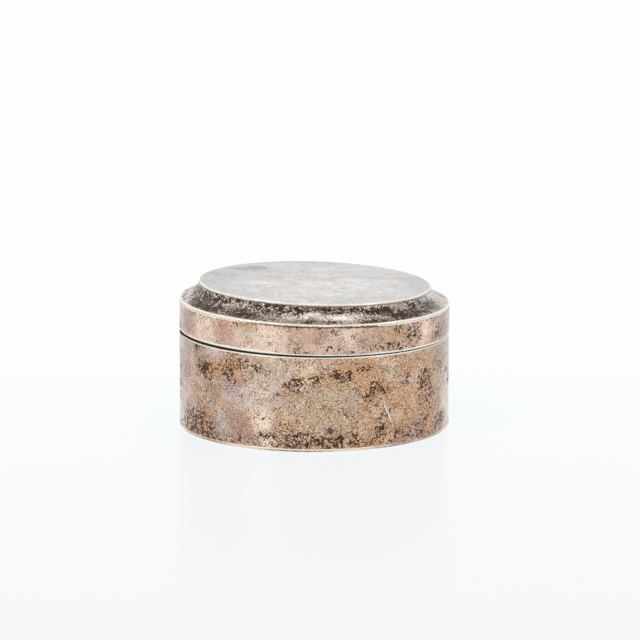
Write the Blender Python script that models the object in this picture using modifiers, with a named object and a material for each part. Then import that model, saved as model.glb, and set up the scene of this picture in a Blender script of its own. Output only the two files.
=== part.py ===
"""Round box of silver sheet with a lift-off lid.

A drum stands on a base plate. A collar inside it rises above the rim and locates the lid, which is a straight
skirt, a concave shoulder and a flat disc, soldered together. Handwork shows: the drum's rim is a little higher at
-X than at +X, and the lid sits on it with a lean of its own.
All lengths are in metres, +Z is up, and the origin is the middle of the underside.
"""

import math

import bpy

# Drum and base plate
BODY_RADIUS = 0.0450
BODY_SHEET = 0.0008
BASE_SHEET = 0.0009
BASE_OVERHANG = 0.0002
RIM_HEIGHT = 0.0311
RIM_RUN_OUT = 0.00115

# Collar that the lid slides on
COLLAR_SHEET = 0.0007
COLLAR_DEPTH = 0.0070
COLLAR_RISE = 0.0050

# Lid
LID_SHEET = 0.0006
SKIRT_HEIGHT = 0.0094
COVE_INSET = 0.0066
COVE_RISE = 0.0047
COVE_SAG = 0.0008
TOP_SHEET = 0.0008
TOP_OVERHANG = 0.0002
LID_RUN_OUT = 0.0019
TOP_RUN_OUT = 0.0009

# Fits: the film of solder in a seam, the lid's play on the collar, and the open seam under the lid
SOLDER_GAP = 0.0001
SLIP_CLEARANCE = 0.0003
LID_GAP = 0.0006

# Edges rubbed round by use
SHEET_EDGE = 0.00018
TOP_EDGE = 0.0003

# Fineness of the round forms
TURN_STEPS = 80
COVE_STEPS = 8
EDGE_STEPS = 2
MERGE_DISTANCE = 1e-6
SHARP_ANGLE = math.radians(30)

# Radii and levels that follow from the sizes above
COLLAR_RADIUS = BODY_RADIUS - BODY_SHEET - SOLDER_GAP
SKIRT_BORE = COLLAR_RADIUS + SLIP_CLEARANCE
LID_RADIUS = SKIRT_BORE + LID_SHEET
COVE_TOP_RADIUS = LID_RADIUS - COVE_INSET
TOP_RADIUS = COVE_TOP_RADIUS + TOP_OVERHANG
WALL_FOOT = BASE_SHEET + SOLDER_GAP
LID_EDGE_LEVEL = RIM_HEIGHT + LID_GAP
COVE_SEAT = SKIRT_HEIGHT + SOLDER_GAP
SHOULDER = COVE_SEAT + LID_SHEET
COVE_TOP = SHOULDER + COVE_RISE
TOP_SEAT = COVE_TOP + SOLDER_GAP


def clear_scene():
    for item in list(bpy.data.objects):
        bpy.data.objects.remove(item, do_unlink=True)


def make_collection(name):
    collection = bpy.data.collections.new(name)
    bpy.context.scene.collection.children.link(collection)
    return collection


def make_metal(name, colour, roughness, metallic):
    material = bpy.data.materials.new(name)
    material.use_nodes = True
    shader = material.node_tree.nodes["Principled BSDF"]
    shader.inputs["Base Color"].default_value = (*colour, 1.0)
    shader.inputs["Roughness"].default_value = roughness
    shader.inputs["Metallic"].default_value = metallic
    return material


def turn(name, profile, closed):
    """A mesh turned about Z from (radius, height) points that run down the outer side first."""
    outline = bpy.data.meshes.new(name)
    count = len(profile)
    edges = [(i, i + 1) for i in range(count - 1)]
    if closed:
        edges.append((count - 1, 0))
    outline.from_pydata([(radius, 0.0, height) for radius, height in profile], edges, [])
    blank = bpy.data.objects.new(name, outline)
    bpy.context.scene.collection.objects.link(blank)
    screw = blank.modifiers.new("turn", "SCREW")
    screw.steps = TURN_STEPS
    screw.render_steps = TURN_STEPS
    screw.use_merge_vertices = True
    screw.merge_threshold = MERGE_DISTANCE
    evaluated = blank.evaluated_get(bpy.context.evaluated_depsgraph_get())
    mesh = bpy.data.meshes.new_from_object(evaluated)
    bpy.data.objects.remove(blank)
    bpy.data.meshes.remove(outline)
    return mesh


def lean(mesh, run_out, low=None, high=None):
    """Raise the -X side and lower the +X side by run_out over the drum's width, in full or from low to high."""
    slope = run_out / (2 * BODY_RADIUS)
    for vertex in mesh.vertices:
        share = 1.0
        if low is not None:
            share = min(max((vertex.co.z - low) / (high - low), 0.0), 1.0)
        vertex.co.z -= slope * share * vertex.co.x


def place(name, mesh, material, collection, edge, parent=None):
    """One named piece, its edges rubbed round and its faces shaded smooth between them."""
    mesh.name = name
    mesh.shade_smooth()
    mesh.set_sharp_from_angle(angle=SHARP_ANGLE)
    mesh.materials.append(material)
    piece = bpy.data.objects.new(name, mesh)
    collection.objects.link(piece)
    bevel = piece.modifiers.new("rubbed edge", "BEVEL")
    bevel.width = edge
    bevel.segments = EDGE_STEPS
    bevel.limit_method = "ANGLE"
    bevel.angle_limit = SHARP_ANGLE
    piece.parent = parent
    return piece


def band(name, radius, sheet, low, high):
    """A straight band of sheet: its outer side at radius, from low to high."""
    bore = radius - sheet
    return turn(name, [(radius, high), (radius, low), (bore, low), (bore, high)], closed=True)


def disc(name, radius, low, high):
    """A flat disc of sheet."""
    return turn(name, [(0.0, high), (radius, high), (radius, low), (0.0, low)], closed=False)


def arc(centre, radius, start, end, steps):
    """Points on a circle, from one angle to another."""
    angles = [start + (end - start) * step / steps for step in range(steps + 1)]
    return [(centre[0] + radius * math.cos(a), centre[1] + radius * math.sin(a)) for a in angles]


def cove_profile():
    """Section of the concave shoulder: two arcs about one centre, one sheet apart, with level seats."""
    chord = math.hypot(COVE_INSET, COVE_RISE)
    hollow = chord**2 / (8 * COVE_SAG) + COVE_SAG / 2
    slant = math.atan2(COVE_RISE, COVE_INSET)
    half_angle = math.asin(chord / (2 * hollow))
    top_angle = 1.5 * math.pi - slant - half_angle
    shoulder_angle = top_angle + 2 * half_angle
    centre = (
        LID_RADIUS - hollow * math.cos(shoulder_angle),
        SHOULDER - hollow * math.sin(shoulder_angle),
    )
    back = hollow + LID_SHEET
    seat_angle = math.pi - math.asin((COVE_SEAT - centre[1]) / back)
    under_top_angle = math.pi - math.asin((COVE_TOP - centre[1]) / back)
    outside = arc(centre, hollow, top_angle, shoulder_angle, COVE_STEPS)
    inside = arc(centre, back, seat_angle, under_top_angle, COVE_STEPS)
    return outside + [(LID_RADIUS, COVE_SEAT)] + inside


def make_base_plate(collection):
    material = make_metal("base_plate_silver", (0.62, 0.54, 0.46), 0.42, 1.0)
    mesh = disc("base_plate", BODY_RADIUS + BASE_OVERHANG, 0.0, BASE_SHEET)
    return place("base_plate", mesh, material, collection, SHEET_EDGE)


def make_body_wall(collection):
    material = make_metal("body_wall_silver", (0.50, 0.39, 0.31), 0.38, 1.0)
    mesh = band("body_wall", BODY_RADIUS, BODY_SHEET, WALL_FOOT, RIM_HEIGHT)
    lean(mesh, RIM_RUN_OUT, WALL_FOOT, RIM_HEIGHT)
    return place("body_wall", mesh, material, collection, SHEET_EDGE)


def make_inner_collar(collection):
    material = make_metal("inner_collar_silver", (0.70, 0.66, 0.60), 0.35, 1.0)
    mesh = band(
        "inner_collar",
        COLLAR_RADIUS,
        COLLAR_SHEET,
        RIM_HEIGHT - COLLAR_DEPTH,
        RIM_HEIGHT + COLLAR_RISE,
    )
    lean(mesh, RIM_RUN_OUT)
    return place("inner_collar", mesh, material, collection, SHEET_EDGE)


def make_lid_skirt(collection, seat):
    material = make_metal("lid_skirt_silver", (0.56, 0.45, 0.37), 0.36, 1.0)
    mesh = band("lid_skirt", LID_RADIUS, LID_SHEET, 0.0, SKIRT_HEIGHT)
    return place("lid_skirt", mesh, material, collection, SHEET_EDGE, seat)


def make_lid_cove(collection, seat):
    material = make_metal("lid_cove_silver", (0.22, 0.18, 0.16), 0.34, 1.0)
    mesh = turn("lid_cove", cove_profile(), closed=True)
    lean(mesh, TOP_RUN_OUT, SHOULDER, COVE_TOP)
    return place("lid_cove", mesh, material, collection, SHEET_EDGE, seat)


def make_lid_top(collection, seat):
    material = make_metal("lid_top_silver", (0.66, 0.64, 0.62), 0.40, 1.0)
    mesh = disc("lid_top", TOP_RADIUS, TOP_SEAT, TOP_SEAT + TOP_SHEET)
    lean(mesh, TOP_RUN_OUT)
    return place("lid_top", mesh, material, collection, TOP_EDGE, seat)


def make_lid_seat(collection):
    """The empty that carries the lid: on the lift axis, level with the lid's edge, and leaning as the lid does."""
    seat = bpy.data.objects.new("lid_seat", None)
    seat.location = (0.0, 0.0, LID_EDGE_LEVEL)
    seat.rotation_euler = (0.0, math.asin(LID_RUN_OUT / (2 * LID_RADIUS)), 0.0)
    collection.objects.link(seat)
    return seat


def main():
    clear_scene()
    box = make_collection("lidded_box")
    make_base_plate(box)
    make_body_wall(box)
    make_inner_collar(box)
    seat = make_lid_seat(box)
    make_lid_skirt(box, seat)
    make_lid_cove(box, seat)
    make_lid_top(box, seat)


main()
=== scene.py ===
"""Round lidded box of tarnished silver sheet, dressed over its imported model."""

import math
import random
from collections import namedtuple

import bpy
import numpy as np
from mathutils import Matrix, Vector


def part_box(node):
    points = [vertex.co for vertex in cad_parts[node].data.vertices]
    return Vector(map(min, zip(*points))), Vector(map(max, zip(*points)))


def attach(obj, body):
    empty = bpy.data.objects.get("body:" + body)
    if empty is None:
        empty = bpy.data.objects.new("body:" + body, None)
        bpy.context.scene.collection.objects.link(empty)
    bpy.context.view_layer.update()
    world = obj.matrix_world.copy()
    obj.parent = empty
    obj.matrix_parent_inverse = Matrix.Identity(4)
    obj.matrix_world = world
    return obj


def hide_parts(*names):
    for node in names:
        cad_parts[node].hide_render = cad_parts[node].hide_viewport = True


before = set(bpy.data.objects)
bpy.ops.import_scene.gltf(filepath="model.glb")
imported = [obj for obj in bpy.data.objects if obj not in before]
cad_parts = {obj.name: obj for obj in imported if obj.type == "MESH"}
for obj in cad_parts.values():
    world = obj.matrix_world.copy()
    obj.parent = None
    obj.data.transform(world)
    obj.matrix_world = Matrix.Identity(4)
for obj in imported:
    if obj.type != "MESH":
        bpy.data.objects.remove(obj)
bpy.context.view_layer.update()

MM = 0.001
TONES = ("Pale", "Olive", "Rose", "Gold", "Lilac", "Ash", "Soot")

# Sheet and round sizes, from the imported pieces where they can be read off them
PLATE_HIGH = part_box("base_plate")[1]
PLATE_RADIUS = PLATE_HIGH.x
PLATE_SHEET = PLATE_HIGH.z
DRUM_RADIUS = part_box("body_wall")[1].x
DRUM_SHEET = 0.8 * MM
RIM_HEIGHT = 31.1 * MM
RIM_RUN_OUT = 1.15 * MM
SEAM = 0.1 * MM
COLLAR_RADIUS = DRUM_RADIUS - DRUM_SHEET - SEAM
COLLAR_SHEET = 0.7 * MM
COLLAR_DEPTH = 7.0 * MM
COLLAR_RISE = 5.0 * MM
LID_PLAY = 0.3 * MM
LID_GAP = 0.6 * MM
LID_SHEET = 0.6 * MM
LID_RADIUS = COLLAR_RADIUS + LID_PLAY + LID_SHEET
SKIRT_HEIGHT = 9.4 * MM
COVE_INSET = 6.6 * MM
COVE_RISE = 4.7 * MM
COVE_SAG = 0.8 * MM
TOP_OVERHANG = 0.2 * MM
TOP_RADIUS = LID_RADIUS - COVE_INSET + TOP_OVERHANG
TOP_SHEET = 0.8 * MM
LID_RUN_OUT = 1.9 * MM
TOP_RUN_OUT = 0.9 * MM

# Levels: the lid's own are counted from its lower edge. Soldered pieces meet in the middle of their seam.
LID_EDGE_LEVEL = RIM_HEIGHT + LID_GAP
COVE_SEAT = SKIRT_HEIGHT + SEAM / 2
SHOULDER = SKIRT_HEIGHT + SEAM + LID_SHEET
COVE_TOP = SHOULDER + COVE_RISE
TOP_SEAT = COVE_TOP + SEAM
DRUM_FOOT = PLATE_SHEET - 0.06 * MM

# Leans, as rise over run, and where marks on the lid are counted from
RIM_SLOPE = RIM_RUN_OUT / (2 * DRUM_RADIUS)
LID_SLOPE = LID_RUN_OUT / (2 * LID_RADIUS)
TOP_SLOPE = TOP_RUN_OUT / (2 * DRUM_RADIUS)
ON_LID = (LID_RADIUS, LID_EDGE_LEVEL, LID_SLOPE)
LID_SEATING = {"tilt": math.asin(LID_SLOPE), "lift": LID_EDGE_LEVEL}

# Fineness of the turned pieces
ROUND_STEPS = 640
RUN_STEP = 0.55 * MM
INSIDE_STEP = 1.1 * MM
FLAT_STEP = 1.2 * MM
BEND_STEPS = 5
ARC_STEPS = 24
MERGE_DISTANCE = 1e-7


# Node helpers

def put(tree, kind, inputs=None, **settings):
    """A node with its settings made and its inputs set or joined."""
    node = tree.nodes.new(kind)
    for name, value in settings.items():
        setattr(node, name, value)
    for name, value in (inputs or {}).items():
        if isinstance(value, bpy.types.NodeSocket):
            tree.links.new(value, node.inputs[name])
        else:
            node.inputs[name].default_value = value
    return node


def reckon(tree, operation, first, second=0.0, third=0.0):
    """One step of arithmetic; values are numbers or sockets."""
    return put(tree, "ShaderNodeMath", {0: first, 1: second, 2: third}, operation=operation).outputs[0]


def plus(tree, first, second):
    return reckon(tree, "ADD", first, second)


def minus(tree, first, second):
    return reckon(tree, "SUBTRACT", first, second)


def times(tree, first, second):
    return reckon(tree, "MULTIPLY", first, second)


def times_plus(tree, first, second, third):
    """first * second + third."""
    return reckon(tree, "MULTIPLY_ADD", first, second, third)


def larger(tree, first, second):
    return reckon(tree, "MAXIMUM", first, second)


def ease(tree, value, low, high):
    """0 below low, 1 above high and a smooth rise between."""
    inputs = {"Value": value, "From Min": low, "From Max": high}
    return put(tree, "ShaderNodeMapRange", inputs, interpolation_type="SMOOTHSTEP").outputs["Result"]


def rgba(colour):
    """A colour as its socket takes it; anything else stays as it is."""
    return (*colour, 1.0) if isinstance(colour, tuple) else colour


def tint(tree, share, under, over, way="MIX"):
    """One colour laid over another by a share."""
    inputs = {0: share, 6: rgba(under), 7: rgba(over)}
    return put(tree, "ShaderNodeMix", inputs, data_type="RGBA", blend_type=way, clamp_factor=True).outputs[2]


def cloud(tree, place, size=1.0, detail=3.0, roughness=0.55, distortion=0.0, scale=None):
    """A noise whose blotches are about one size across, or whose scale is given instead, maybe by a socket."""
    inputs = {
        "Vector": place,
        "Scale": 1.0 / size if scale is None else scale,
        "Detail": detail,
        "Roughness": roughness,
        "Distortion": distortion,
    }
    return put(tree, "ShaderNodeTexNoise", inputs, noise_type="FBM", normalize=True)


def split(tree, colour):
    """The three channels of a colour, which serve as three clouds of their own."""
    return put(tree, "ShaderNodeSeparateColor", {0: colour}).outputs


def vector(tree, x, y, z):
    return put(tree, "ShaderNodeCombineXYZ", {0: x, 1: y, 2: z}).outputs[0]


def group(name, inputs, outputs):
    """An empty shader group with named sockets; returns the tree and its two ends."""
    tree = bpy.data.node_groups.new(name, "ShaderNodeTree")
    kinds = {float: "NodeSocketFloat", tuple: "NodeSocketColor", None: "NodeSocketVector"}
    for label, value in inputs.items():
        kind = kinds[None if value is None else type(value)]
        socket = tree.interface.new_socket(label, in_out="INPUT", socket_type=kind)
        if value is not None:
            socket.default_value = rgba(value)
    for label, kind in outputs.items():
        tree.interface.new_socket(label, in_out="OUTPUT", socket_type=kinds[kind])
    return tree, tree.nodes.new("NodeGroupInput").outputs, tree.nodes.new("NodeGroupOutput").inputs


# Shared effects

def make_patina():
    """Broad fields of colour in the tarnish, and some painted sheen, shade and highlights: each tone shows where its
    own map and a cloud say so.
    """
    tree, given, result = group(
        "patina",
        {
            "Place": None,
            "Everywhere": 0.0,
            **{tone + " Map": 0.0 for tone in TONES},
            "Ground": (0.485, 0.336, 0.245),
            "Pale": (0.96, 0.80, 0.65),
            "Olive": (0.52, 0.405, 0.255),
            "Rose": (0.39, 0.24, 0.19),
            "Gold": (0.56, 0.315, 0.152),
            "Lilac": (0.56, 0.445, 0.46),
            "Ash": (0.59, 0.578, 0.545),
            "Soot": (0.14, 0.10, 0.08),
        },
        {"Color": tuple},
    )
    away = (0.31, 0.17, 0.23)
    elsewhere = put(tree, "ShaderNodeVectorMath", {0: given["Place"], 1: away}, operation="ADD").outputs[0]
    broad = split(tree, cloud(tree, given["Place"], 9 * MM).outputs["Color"])
    other = split(tree, cloud(tree, elsewhere, 6 * MM, 3.0, 0.6).outputs["Color"])
    close = split(tree, cloud(tree, given["Place"], 2.2 * MM, 4.0, 0.65, 0.5).outputs["Color"])
    layers = (
        ("Pale", broad[0], close[1]),
        ("Olive", broad[1], close[2]),
        ("Rose", broad[2], close[0]),
        ("Gold", other[0], close[1]),
        ("Lilac", other[1], close[2]),
        ("Ash", broad[0], close[0]),
        ("Soot", other[2], close[0]),
    )
    wide_pull, narrow_pull, map_pull, hold_back = 1.8, 1.1, 1.4, -1.45
    start = plus(tree, given["Everywhere"], hold_back)
    colour = given["Ground"]
    for name, wide, narrow in layers:
        drift = times_plus(tree, wide, wide_pull, times(tree, narrow, narrow_pull))
        drift = plus(tree, drift, times_plus(tree, given[name + " Map"], map_pull, start))
        colour = tint(tree, times(tree, ease(tree, drift, -0.1, 1.0), 0.95), colour, given[name])
    shade = times_plus(tree, other[2], 0.7, 0.65)
    shade = times(tree, shade, times_plus(tree, close[0], 0.9, 0.55))
    grey = put(tree, "ShaderNodeCombineColor", {0: shade, 1: shade, 2: shade}).outputs[0]
    tree.links.new(tint(tree, 1.0, colour, grey, "MULTIPLY"), result["Color"])
    return tree


def make_speckle():
    """Grit of the corroded skin: bright and dark grains and fine dark specks, all thicker in some places."""
    tree, given, result = group(
        "speckle",
        {"Place": None, "Strength": 1.0, "Speck Share": 0.5, "Size": 0.5 * MM},
        {"Bright": float, "Dark": float, "Specks": float},
    )
    scale = reckon(tree, "DIVIDE", 1.0, given["Size"])
    coarse = cloud(tree, given["Place"], detail=0.0, scale=scale).outputs
    fine = cloud(tree, given["Place"], detail=0.0, scale=times(tree, scale, 1.6)).outputs
    thick = cloud(tree, given["Place"], 4 * MM, 3.0, 0.6).outputs["Fac"]
    there = times_plus(tree, ease(tree, thick, 0.38, 0.62), 1.0, 0.4)
    grain = minus(tree, plus(tree, coarse["Fac"], fine["Fac"]), 1.0)
    grain = times(tree, grain, times(tree, there, given["Strength"]))
    tree.links.new(larger(tree, grain, 0.0), result["Bright"])
    tree.links.new(larger(tree, times(tree, grain, -1.0), 0.0), result["Dark"])
    edge = times_plus(tree, given["Speck Share"], -0.22, 0.96)
    edge = times_plus(tree, thick, -0.45, edge)
    full = plus(tree, edge, 0.05)
    specks = ease(tree, split(tree, coarse["Color"])[1], edge, full)
    finer = ease(tree, split(tree, fine["Color"])[2], edge, full)
    tree.links.new(larger(tree, specks, finer), result["Specks"])
    return tree


def make_flecks():
    """Tarnish that has bitten in: broken, branching dark strokes that gather where the map is high."""
    tree, given, result = group(
        "tarnish_flecks",
        {"Place": None, "Map": 0.0, "Everywhere": 0.1, "Size": 1.1 * MM},
        {"Fleck": float, "Halo": float, "Tone": float},
    )
    place = given["Place"]
    scale = reckon(tree, "DIVIDE", 1.0, given["Size"])
    broken = cloud(tree, place, detail=4.0, roughness=0.62, distortion=0.3, scale=scale).outputs
    strokes = []
    for finer in (0.55, 0.95):
        finer_scale = times(tree, scale, finer)
        lines = cloud(tree, place, detail=1.0, roughness=0.5, distortion=0.6, scale=finer_scale).outputs["Fac"]
        off = reckon(tree, "ABSOLUTE", minus(tree, lines, 0.5))
        strokes.append(minus(tree, 1.0, ease(tree, off, 0.0, 0.1)))
    stroke = larger(tree, strokes[0], times(tree, strokes[1], 0.8))
    field = times_plus(tree, stroke, 0.5, broken["Fac"])
    edge = times_plus(tree, plus(tree, given["Map"], given["Everywhere"]), -0.47, 1.14)
    edge = times_plus(tree, ease(tree, given["Map"], 0.88, 1.0), -0.2, edge)
    tree.links.new(ease(tree, field, edge, plus(tree, edge, 0.02)), result["Fleck"])
    tree.links.new(ease(tree, field, plus(tree, edge, -0.2), plus(tree, edge, 0.01)), result["Halo"])
    tree.links.new(ease(tree, split(tree, broken["Color"])[1], 0.4, 0.65), result["Tone"])
    return tree


def make_scratches():
    """Sparse hairline scratches along one direction of the given place."""
    tree, given, result = group("scratches", {"Place": None, "Amount": 0.5}, {"Mask": float})
    drawn = put(tree, "ShaderNodeMapping", {"Vector": given["Place"], "Scale": (1.0, 26.0, 26.0)}).outputs[0]
    lines = cloud(tree, drawn, 7 * MM, 2.0, 0.5, 0.15).outputs["Fac"]
    there = cloud(tree, given["Place"], 5 * MM, 2.0).outputs["Fac"]
    edge = times_plus(tree, given["Amount"], -0.2, 0.8)
    thin = ease(tree, lines, edge, plus(tree, edge, 0.05))
    tree.links.new(times(tree, thin, ease(tree, there, 0.45, 0.6)), result["Mask"])
    return tree


def make_rubbing():
    """Edges worn bright by rubbing, whose cream colour also paints a highlight there: the map of nearness to an edge,
    broken up a little.
    """
    tree, given, result = group("rubbed_edges", {"Place": None, "Map": 0.0}, {"Mask": float})
    broken = cloud(tree, given["Place"], 1.2 * MM, 3.0, 0.6).outputs["Fac"]
    wide = cloud(tree, given["Place"], 9 * MM, 2.0).outputs["Fac"]
    value = times_plus(tree, plus(tree, broken, wide), 0.5, plus(tree, given["Map"], -0.5))
    tree.links.new(ease(tree, value, 0.4, 0.75), result["Mask"])
    return tree


EFFECTS = {
    "patina": make_patina(),
    "speckle": make_speckle(),
    "flecks": make_flecks(),
    "scratches": make_scratches(),
    "rubbing": make_rubbing(),
}


def use(tree, effect, inputs):
    """The outputs of a shared effect, with its inputs set or joined."""
    inputs = {name: rgba(value) for name, value in inputs.items()}
    return put(tree, "ShaderNodeGroup", inputs, node_tree=EFFECTS[effect]).outputs


def attribute(tree, name):
    return put(tree, "ShaderNodeAttribute", attribute_name=name).outputs["Fac"]


# Tones that all the silver shares
KEPT_BRIGHT = (0.80, 0.76, 0.68)
SPECK = (0.085, 0.036, 0.018)
# This near-black serves both as dirt in seams and as painted shade in gaps and along the foot.
GRIME_AND_SHADE = (0.028, 0.018, 0.012)


def aged_silver(
    name,
    tones,
    stained=0.0,
    everywhere=0.1,
    fleck_size=1.2 * MM,
    fleck=(0.065, 0.027, 0.015),
    rust=(0.17, 0.070, 0.030),
    halo=(0.30, 0.19, 0.12),
    halo_share=0.22,
    grit=0.5 * MM,
    grain=1.4,
    specks=0.38,
    speck_share=0.75,
    pale_grain=(0.90, 0.76, 0.62),
    dark_grain=(0.16, 0.070, 0.035),
    rubbed_highlight=(0.98, 0.92, 0.82),
    scuff=(0.98, 0.92, 0.82),
    scuffs=0.5,
    soot_calm=0.5,
    roughness=0.34,
    coat=0.38,
):
    """Silver under tarnish. The maps come with the piece's mesh; 'inner' marks its plain, kept-bright side."""
    material = bpy.data.materials.new(name)
    material.use_nodes = True
    tree = material.node_tree
    shader = tree.nodes["Principled BSDF"]
    place = put(tree, "ShaderNodeTexCoord").outputs["Object"]

    # Fields of colour, and the plain side within
    maps = {tone + " Map": attribute(tree, tone.lower()) for tone in TONES}
    colour = use(tree, "patina", {"Place": place, "Everywhere": stained, **maps, **tones})["Color"]
    within = times(tree, attribute(tree, "inner"), 0.8)
    colour = tint(tree, within, colour, KEPT_BRIGHT)

    # Grain and specks, calmer where the skin is sooty or lilac
    calm = times_plus(tree, maps["Soot Map"], -soot_calm, 1.0)
    calm = times(tree, calm, times_plus(tree, maps["Lilac Map"], -0.35, 1.0))
    strength = times(tree, calm, grain)
    skin = use(tree, "speckle", {"Place": place, "Strength": strength, "Speck Share": specks, "Size": grit})
    even = minus(tree, skin["Bright"], skin["Dark"])
    colour = tint(tree, skin["Bright"], colour, pale_grain)
    colour = tint(tree, skin["Dark"], colour, dark_grain)
    share = times(tree, calm, times(tree, minus(tree, 1.0, within), speck_share))
    specked = times(tree, skin["Specks"], share)
    colour = tint(tree, specked, colour, tint(tree, 0.85, colour, SPECK))

    # Bitten tarnish, fainter where the skin is lilac or pale
    bitten_map = times_plus(tree, maps["Lilac Map"], -0.45, attribute(tree, "tarnish"))
    bitten_map = times_plus(tree, maps["Pale Map"], -0.3, bitten_map)
    inputs = {"Place": place, "Map": bitten_map, "Everywhere": everywhere, "Size": fleck_size}
    spots = use(tree, "flecks", inputs)
    colour = tint(tree, times(tree, spots["Halo"], halo_share), colour, halo)
    bitten = tint(tree, times(tree, spots["Tone"], 0.7), fleck, rust)
    colour = tint(tree, times(tree, spots["Fleck"], 0.98), colour, bitten)

    # Grime in the seams with painted shade in the lid's gap and along the foot, then what wear has left bright
    dirt = plus(tree, attribute(tree, "grime"), -0.4)
    dirt = times_plus(tree, cloud(tree, place, 1.1 * MM).outputs["Fac"], 0.8, dirt)
    grime = ease(tree, dirt, 0.3, 0.75)
    colour = tint(tree, times(tree, grime, 0.92), colour, GRIME_AND_SHADE)
    scratch = use(tree, "scratches", {"Place": place, "Amount": scuffs})["Mask"]
    rub = use(tree, "rubbing", {"Place": place, "Map": attribute(tree, "rub")})["Mask"]
    colour = tint(tree, times(tree, scratch, 0.6), colour, scuff)
    # Worn edges get bared silver's cream, which also paints their highlight.
    colour = tint(tree, times(tree, rub, 0.9), colour, rubbed_highlight)
    tree.links.new(colour, shader.inputs["Base Color"])

    # Tarnish is dull and no metal, and rubbing takes it off again; worn edges are left half non-metal, so that their
    # cream colour paints a highlight along them
    dull = times(tree, larger(tree, spots["Fleck"], grime), minus(tree, 1.0, rub))
    metal = times_plus(tree, dull, -0.75, 1.0)
    tree.links.new(times_plus(tree, rub, -0.5, metal), shader.inputs["Metallic"])
    rough = times_plus(tree, dull, 0.25, roughness)
    rough = times_plus(tree, even, 0.15, rough)
    rough = times_plus(tree, rub, -0.05, rough)
    tree.links.new(rough, shader.inputs["Roughness"])
    height = times_plus(tree, dull, -0.8, times(tree, even, 0.4))
    height = times_plus(tree, scratch, -0.4, height)
    bump = put(tree, "ShaderNodeBump", {"Strength": 0.25, "Distance": 0.08 * MM, "Height": height})
    tree.links.new(bump.outputs["Normal"], shader.inputs["Normal"])
    shader.inputs["Specular IOR Level"].default_value = 0.2
    bare = larger(tree, dull, times(tree, specked, 0.8))
    tree.links.new(times_plus(tree, bare, -0.95 * coat, coat), shader.inputs["Coat Weight"])
    shader.inputs["Coat Roughness"].default_value = 0.12
    return material


# Turned sheet. A corner's reaches and widths are in mm.

Corner = namedtuple("Corner", "reach worn rub grime width worn_width", defaults=(0.0, 0.0, 0.4, 0.4))
Run = namedtuple("Run", "points inner step", defaults=(0.0, RUN_STEP))
GRIME_WIDTH = 0.7 * MM
PROFILE_MAPS = ("span", "height", "worn_span", "worn_height", "edge_rub", "worn_edge_rub", "grime", "inner")


def along(points, distances):
    """Points at these distances along a polyline, and its length."""
    points = np.array(points, float)
    lengths = np.concatenate([[0.0], np.cumsum(np.linalg.norm(np.diff(points, axis=0), axis=1))])
    return np.stack([np.interp(distances, lengths, points[:, k]) for k in (0, 1)], axis=1), lengths[-1]


def section(runs, corners, closed=True):
    """Rows of the profile maps' values round the section of one sheet.

    Each run starts at the corner of the same place in the list. Every corner is rounded over its reach, and again
    over its worn reach, and the piece is turned from a blend of the two.
    """
    lengths = ("reach", "worn", "width", "worn_width")
    corners = [corner._replace(**{label: getattr(corner, label) * MM for label in lengths}) for corner in corners]
    shapes = []
    for pick in ("reach", "worn"):
        rows = []
        for i, run in enumerate(runs):
            here, ahead = corners[i], corners[(i + 1) % len(corners)]
            total = along(run.points, [0.0])[1]
            count = max(1, round((total - here.reach - ahead.reach) / run.step))
            start = getattr(here, pick) if closed or i > 0 else 0.0
            end = getattr(ahead, pick) if closed or i < len(runs) - 1 else 0.0
            body, _ = along(run.points, np.linspace(start, total - end, count + 1))
            if closed or i > 0:
                before = runs[i - 1].points
                arrive, _ = along(before, [along(before, [0.0])[1] - start])
                tip = np.array(run.points[0], float)
                for t in np.arange(1, BEND_STEPS) / BEND_STEPS:
                    bend = (1 - t) ** 2 * arrive[0] + 2 * t * (1 - t) * tip + t**2 * body[0]
                    rows.append((*bend, run.inner))
            rows.extend((r, h, run.inner) for r, h in body)
        shapes.append(np.array(rows))
    crisp, worn = shapes
    rub, worn_rub, grime = np.zeros((3, len(crisp)))
    for corner, run in zip(corners, runs):
        away = np.hypot(crisp[:, 0] - run.points[0][0], crisp[:, 1] - run.points[0][1])
        rub = np.maximum(rub, corner.rub * np.exp(-((away / corner.width) ** 2)))
        worn_rub = np.maximum(worn_rub, corner.rub * np.exp(-((away / corner.worn_width) ** 2)))
        grime = np.maximum(grime, corner.grime * np.exp(-((away / GRIME_WIDTH) ** 2)))
    return np.column_stack([crisp[:, :2], worn[:, :2], rub, worn_rub, grime, crisp[:, 2]])


def band(outer, sheet, low, high, corners):
    """The section of a straight band: down its outer face, across, up its bore and across."""
    bore = outer - sheet
    runs = [
        Run([(outer, high), (outer, low)]),
        Run([(outer, low), (bore, low)]),
        Run([(bore, low), (bore, high)], 1.0, INSIDE_STEP),
        Run([(bore, high), (outer, high)]),
    ]
    return section(runs, corners)


def disc(upper, low, corners, inner=0.0, step=FLAT_STEP):
    """The section of a flat round sheet: out along its upper face, down its edge and back underneath."""
    edge = upper[-1]
    under = (edge[0], low)
    runs = [Run(upper, 0.0, FLAT_STEP), Run([edge, under]), Run([under, (0.0, low)], inner, step)]
    return section(runs, corners, closed=False)


def arc_between(start, end, sag):
    """Points from start to end on an arc that bows by sag to the left of the way there."""
    start, end = np.array(start, float), np.array(end, float)
    chord = np.linalg.norm(end - start)
    radius = chord**2 / (8 * abs(sag)) + abs(sag) / 2
    half = math.asin(chord / (2 * radius))
    way = (end - start) / chord
    left = np.array([-way[1], way[0]]) * math.copysign(1.0, sag)
    centre = (start + end) / 2 - left * (radius - abs(sag))
    angles = np.linspace(-half, half, ARC_STEPS + 1)
    return [tuple(centre + radius * (math.cos(a) * left + math.sin(a) * way)) for a in angles]


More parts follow.
